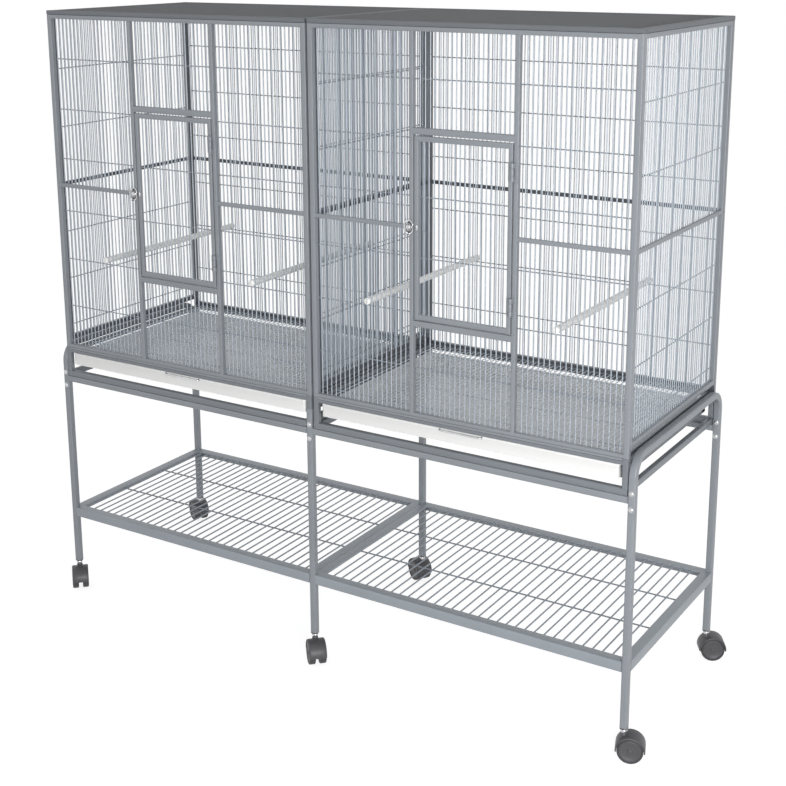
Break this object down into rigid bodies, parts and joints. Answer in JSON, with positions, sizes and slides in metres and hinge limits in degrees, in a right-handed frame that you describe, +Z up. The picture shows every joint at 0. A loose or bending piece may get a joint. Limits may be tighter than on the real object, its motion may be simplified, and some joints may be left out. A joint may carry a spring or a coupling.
{
  "type": "double bird cage",
  "caption": "Double wire flight cage: side-by-side cages with hinged doors, slide-out trays and grates, perches, and a rolling stand with shelves.",
  "frame": {"origin": "on the floor, under the middle of the object as it stands on its casters", "axes": "+X to the right along the doors' side, +Y from the front to the back, +Z up"},
  "size_m": [1.7173, 0.6078, 1.5692],
  "materials": {
    "back_left_caster_fork": "dark grey moulded plastic",
    "back_left_caster_wheels": "dark grey moulded plastic",
    "back_left_leg": "silver-grey powder coat",
    "back_left_stand_rail": "silver-grey powder coat",
    "back_middle_caster_fork": "dark grey moulded plastic",
    "back_middle_caster_wheels": "dark grey moulded plastic",
    "back_middle_leg": "silver-grey powder coat",
    "back_right_caster_fork": "dark grey moulded plastic",
    "back_right_caster_wheels": "dark grey moulded plastic",
    "back_right_leg": "silver-grey powder coat",
    "back_right_stand_rail": "silver-grey powder coat",
    "front_left_caster_fork": "dark grey moulded plastic",
    "front_left_caster_wheels": "dark grey moulded plastic",
    "front_left_leg": "silver-grey powder coat",
    "front_left_stand_rail": "silver-grey powder coat",
    "front_middle_caster_fork": "dark grey moulded plastic",
    "front_middle_caster_wheels": "dark grey moulded plastic",
    "front_middle_leg": "silver-grey powder coat",
    "front_right_caster_fork": "dark grey moulded plastic",
    "front_right_caster_wheels": "dark grey moulded plastic",
    "front_right_leg": "silver-grey powder coat",
    "front_right_stand_rail": "silver-grey powder coat",
    "left_back_panel": "silver-grey powder coat",
    "left_base_frame": "silver-grey powder coat",
    "left_door": "silver-grey powder coat",
    "left_door_hinge_lower": "silver-grey powder coat",
    "left_door_hinge_upper": "silver-grey powder coat",
    "left_door_latch": "bright zinc plate",
    "left_floor_grate": "silver-grey powder coat",
    "left_front_panel": "silver-grey powder coat",
    "left_hoop": "silver-grey powder coat",
    "left_left_side_panel": "silver-grey powder coat",
    "left_perch_left": "white-painted dowel",
    "left_perch_right": "white-painted dowel",
    "left_right_side_panel": "silver-grey powder coat",
    "left_roof_panel": "silver-grey powder coat",
    "left_shelf": "silver-grey powder coat",
    "left_tray": "white enamel",
    "right_back_panel": "silver-grey powder coat",
    "right_base_frame": "silver-grey powder coat",
    "right_door": "silver-grey powder coat",
    "right_door_hinge_lower": "silver-grey powder coat",
    "right_door_hinge_upper": "silver-grey powder coat",
    "right_door_latch": "bright zinc plate",
    "right_floor_grate": "silver-grey powder coat",
    "right_front_panel": "silver-grey powder coat",
    "right_hoop": "silver-grey powder coat",
    "right_left_side_panel": "silver-grey powder coat",
    "right_perch_left": "white-painted dowel",
    "right_perch_right": "white-painted dowel",
    "right_right_side_panel": "silver-grey powder coat",
    "right_roof_panel": "silver-grey powder coat",
    "right_shelf": "silver-grey powder coat",
    "right_tray": "white enamel"
  },
  "bodies": {
    "cages_and_stand": {"back_left_leg": "back_left_leg", "back_left_stand_rail": "back_left_stand_rail", "back_middle_leg": "back_middle_leg", "back_right_leg": "back_right_leg", "back_right_stand_rail": "back_right_stand_rail", "front_left_leg": "front_left_leg", "front_left_stand_rail": "front_left_stand_rail", "front_middle_leg": "front_middle_leg", "front_right_leg": "front_right_leg", "front_right_stand_rail": "front_right_stand_rail", "left_back_panel": "left_back_panel", "left_base_frame": "left_base_frame", "left_door_hinge_lower": "left_door_hinge_lower", "left_door_hinge_upper": "left_door_hinge_upper", "left_front_panel": "left_front_panel", "left_hoop": "left_hoop", "left_left_side_panel": "left_left_side_panel", "left_perch_left": "left_perch_left", "left_perch_right": "left_perch_right", "left_right_side_panel": "left_right_side_panel", "left_roof_panel": "left_roof_panel", "left_shelf": "left_shelf", "right_back_panel": "right_back_panel", "right_base_frame": "right_base_frame", "right_door_hinge_lower": "right_door_hinge_lower", "right_door_hinge_upper": "right_door_hinge_upper", "right_front_panel": "right_front_panel", "right_hoop": "right_hoop", "right_left_side_panel": "right_left_side_panel", "right_perch_left": "right_perch_left", "right_perch_right": "right_perch_right", "right_right_side_panel": "right_right_side_panel", "right_roof_panel": "right_roof_panel", "right_shelf": "right_shelf"},
    "left_door": {"left_door": "left_door"},
    "left_latch": {"left_door_latch": "left_door_latch"},
    "left_tray": {"left_tray": "left_tray"},
    "left_grate": {"left_floor_grate": "left_floor_grate"},
    "right_door": {"right_door": "right_door"},
    "right_latch": {"right_door_latch": "right_door_latch"},
    "right_tray": {"right_tray": "right_tray"},
    "right_grate": {"right_floor_grate": "right_floor_grate"},
    "front_left_swivel": {"front_left_caster_fork": "front_left_caster_fork"},
    "front_left_wheels": {"front_left_caster_wheels": "front_left_caster_wheels"},
    "front_middle_swivel": {"front_middle_caster_fork": "front_middle_caster_fork"},
    "front_middle_wheels": {"front_middle_caster_wheels": "front_middle_caster_wheels"},
    "front_right_swivel": {"front_right_caster_fork": "front_right_caster_fork"},
    "front_right_wheels": {"front_right_caster_wheels": "front_right_caster_wheels"},
    "back_left_swivel": {"back_left_caster_fork": "back_left_caster_fork"},
    "back_left_wheels": {"back_left_caster_wheels": "back_left_caster_wheels"},
    "back_middle_swivel": {"back_middle_caster_fork": "back_middle_caster_fork"},
    "back_middle_wheels": {"back_middle_caster_wheels": "back_middle_caster_wheels"},
    "back_right_swivel": {"back_right_caster_fork": "back_right_caster_fork"},
    "back_right_wheels": {"back_right_caster_wheels": "back_right_caster_wheels"}
  },
  "joints": [
    {"name": "left_door_hinge", "type": "hinge", "parent": "cages_and_stand", "child": "left_door", "pos_m": [-0.2795, -0.2708, 1.1234], "axis": [0, 0, 1], "range_deg": [0, 150]},
    {"name": "left_latch_turn", "type": "hinge", "parent": "cages_and_stand", "child": "left_latch", "pos_m": [-0.532, -0.2669, 1.1269], "axis": [0, 1, 0], "range_deg": [0, 90]},
    {"name": "left_tray_slide", "type": "slide", "parent": "cages_and_stand", "child": "left_tray", "axis": [0, -1, 0], "range_m": [0, 0.45]},
    {"name": "left_grate_slide", "type": "slide", "parent": "cages_and_stand", "child": "left_grate", "axis": [0, -1, 0], "range_m": [0, 0.25]},
    {"name": "right_door_hinge", "type": "hinge", "parent": "cages_and_stand", "child": "right_door", "pos_m": [0.5205, -0.2708, 1.1234], "axis": [0, 0, 1], "range_deg": [0, 150]},
    {"name": "right_latch_turn", "type": "hinge", "parent": "cages_and_stand", "child": "right_latch", "pos_m": [0.268, -0.2669, 1.1269], "axis": [0, 1, 0], "range_deg": [0, 90]},
    {"name": "right_tray_slide", "type": "slide", "parent": "cages_and_stand", "child": "right_tray", "axis": [0, -1, 0], "range_m": [0, 0.45]},
    {"name": "right_grate_slide", "type": "slide", "parent": "cages_and_stand", "child": "right_grate", "axis": [0, -1, 0], "range_m": [0, 0.25]},
    {"name": "front_left_caster_swivel", "type": "hinge", "parent": "cages_and_stand", "child": "front_left_swivel", "pos_m": [-0.807, -0.2585, 0.085], "axis": [0, 0, 1], "continuous": true},
    {"name": "front_left_wheel_roll", "type": "hinge", "parent": "front_left_swivel", "child": "front_left_wheels", "pos_m": [-0.79639, -0.26911, 0.029], "axis": [0.7071, 0.7071, 0], "continuous": true},
    {"name": "front_middle_caster_swivel", "type": "hinge", "parent": "cages_and_stand", "child": "front_middle_swivel", "pos_m": [-0.011, -0.2585, 0.085], "axis": [0, 0, 1], "continuous": true},
    {"name": "front_middle_wheel_roll", "type": "hinge", "parent": "front_middle_swivel", "child": "front_middle_wheels", "pos_m": [-0.00039, -0.26911, 0.029], "axis": [0.7071, 0.7071, 0], "continuous": true},
    {"name": "front_right_caster_swivel", "type": "hinge", "parent": "cages_and_stand", "child": "front_right_swivel", "pos_m": [0.807, -0.2585, 0.085], "axis": [0, 0, 1], "continuous": true},
    {"name": "front_right_wheel_roll", "type": "hinge", "parent": "front_right_swivel", "child": "front_right_wheels", "pos_m": [0.8211, -0.25337, 0.029], "axis": [-0.342, 0.9397, 0], "continuous": true},
    {"name": "back_left_caster_swivel", "type": "hinge", "parent": "cages_and_stand", "child": "back_left_swivel", "pos_m": [-0.807, 0.2585, 0.085], "axis": [0, 0, 1], "continuous": true},
    {"name": "back_left_wheel_roll", "type": "hinge", "parent": "back_left_swivel", "child": "back_left_wheels", "pos_m": [-0.81999, 0.266, 0.029], "axis": [-0.5, -0.866, 0], "continuous": true},
    {"name": "back_middle_caster_swivel", "type": "hinge", "parent": "cages_and_stand", "child": "back_middle_swivel", "pos_m": [-0.011, 0.2585, 0.085], "axis": [0, 0, 1], "continuous": true},
    {"name": "back_middle_wheel_roll", "type": "hinge", "parent": "back_middle_swivel", "child": "back_middle_wheels", "pos_m": [-0.02399, 0.266, 0.029], "axis": [-0.5, -0.866, 0], "continuous": true},
    {"name": "back_right_caster_swivel", "type": "hinge", "parent": "cages_and_stand", "child": "back_right_swivel", "pos_m": [0.807, 0.2585, 0.085], "axis": [0, 0, 1], "continuous": true},
    {"name": "back_right_wheel_roll", "type": "hinge", "parent": "back_right_swivel", "child": "back_right_wheels", "pos_m": [0.81999, 0.266, 0.029], "axis": [-0.5, 0.866, 0], "continuous": true}
  ]
}
